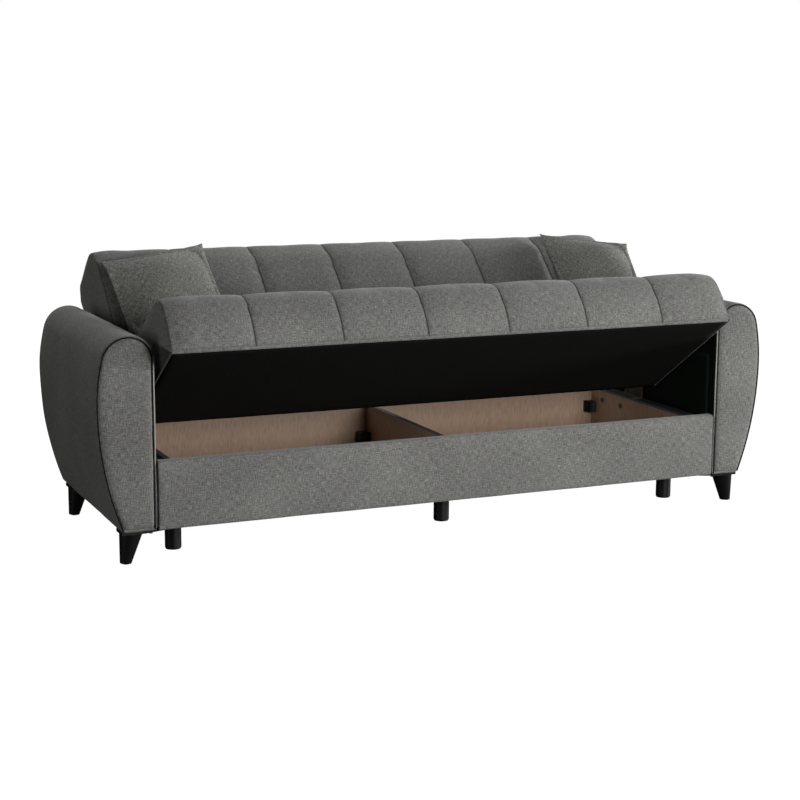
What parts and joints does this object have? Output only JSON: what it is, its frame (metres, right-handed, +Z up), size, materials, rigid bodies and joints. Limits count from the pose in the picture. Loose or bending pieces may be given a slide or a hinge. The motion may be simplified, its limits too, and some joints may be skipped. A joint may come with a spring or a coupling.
{
  "type": "storage sofa",
  "caption": "Three-seat storage sofa with roll arms: the channelled seat and backrest tip up together over a divided bedding box, and the back reclines flat.",
  "frame": {"origin": "on the floor, under the middle of the sofa's width and of its depth as it stands tipped up", "axes": "+X along the sofa to the right hand of someone facing its front, +Y towards the rear, +Z up"},
  "size_m": [2.2644, 1.0579, 0.8715],
  "materials": {
    "upholstery": "matte",
    "pillow_cloth": "matte",
    "piping": "matte",
    "arm_lining": "matte",
    "underlining": "matte",
    "webbing": "matte",
    "laminate": "satin",
    "edge_band": "satin",
    "dark_board": "matte",
    "timber": "matte",
    "black_plastic": "satin",
    "zinc_steel": "satin",
    "bolt_steel": "satin"
  },
  "bodies": {
    "base": {"arm_right": "upholstery", "arm_left": "upholstery", "arm_facing_right": "upholstery", "arm_facing_left": "upholstery", "arm_piping_right": "piping", "arm_piping_left": "piping", "arm_base_board_right": "timber", "arm_base_board_left": "timber", "arm_lining_right": "arm_lining", "arm_lining_left": "arm_lining", "arm_leg_front_right": "black_plastic", "arm_leg_front_left": "black_plastic", "arm_leg_rear_right": "black_plastic", "arm_leg_rear_left": "black_plastic", "arm_leg_screws": "bolt_steel", "front_rail_cover": "upholstery", "front_rail_board": "timber", "box_side_right": "laminate", "box_side_left": "laminate", "box_divider": "laminate", "box_rear_wall": "laminate", "box_edge_bands": "edge_band", "box_floor_right": "laminate", "box_floor_left": "laminate", "ledge_right": "dark_board", "ledge_left": "dark_board", "side_beams": "timber", "rear_rail": "timber", "rear_cloth": "upholstery", "leg_blocks": "black_plastic", "corner_connectors": "black_plastic", "box_leg_front_left": "black_plastic", "box_leg_front_right": "black_plastic", "box_leg_front_middle": "black_plastic", "box_leg_rear_left": "black_plastic", "box_leg_rear_right": "black_plastic", "box_leg_rear_middle": "black_plastic", "hinge_bracket_right": "zinc_steel", "hinge_bracket_left": "zinc_steel", "bracket_bolts": "bolt_steel", "hinge_pins": "bolt_steel"},
    "seat": {"seat_pad": "upholstery", "seat_frame": "timber", "seat_straps": "webbing", "seat_underlining": "underlining", "seat_arm_right": "zinc_steel", "seat_arm_left": "zinc_steel", "seat_arm_bolts": "bolt_steel", "pawl_right": "zinc_steel", "pawl_left": "zinc_steel", "pawl_pins": "bolt_steel"},
    "back": {"back_pad": "upholstery", "back_frame": "timber", "back_cloth": "upholstery", "back_arm_right": "zinc_steel", "back_arm_left": "zinc_steel", "back_arm_bolts": "bolt_steel", "pillow_left": "pillow_cloth", "pillow_right": "pillow_cloth"}
  },
  "joints": [
    {"name": "seat_lift", "type": "hinge", "parent": "base", "child": "seat", "pos_m": [0, 0.02599, 0.4837], "axis": [-1, 0, 0], "range_deg": [-33, 0]},
    {"name": "back_recline", "type": "hinge", "parent": "base", "child": "back", "pos_m": [0, 0.02599, 0.4837], "axis": [-1, 0, 0], "range_deg": [-33, 42]}
  ]
}
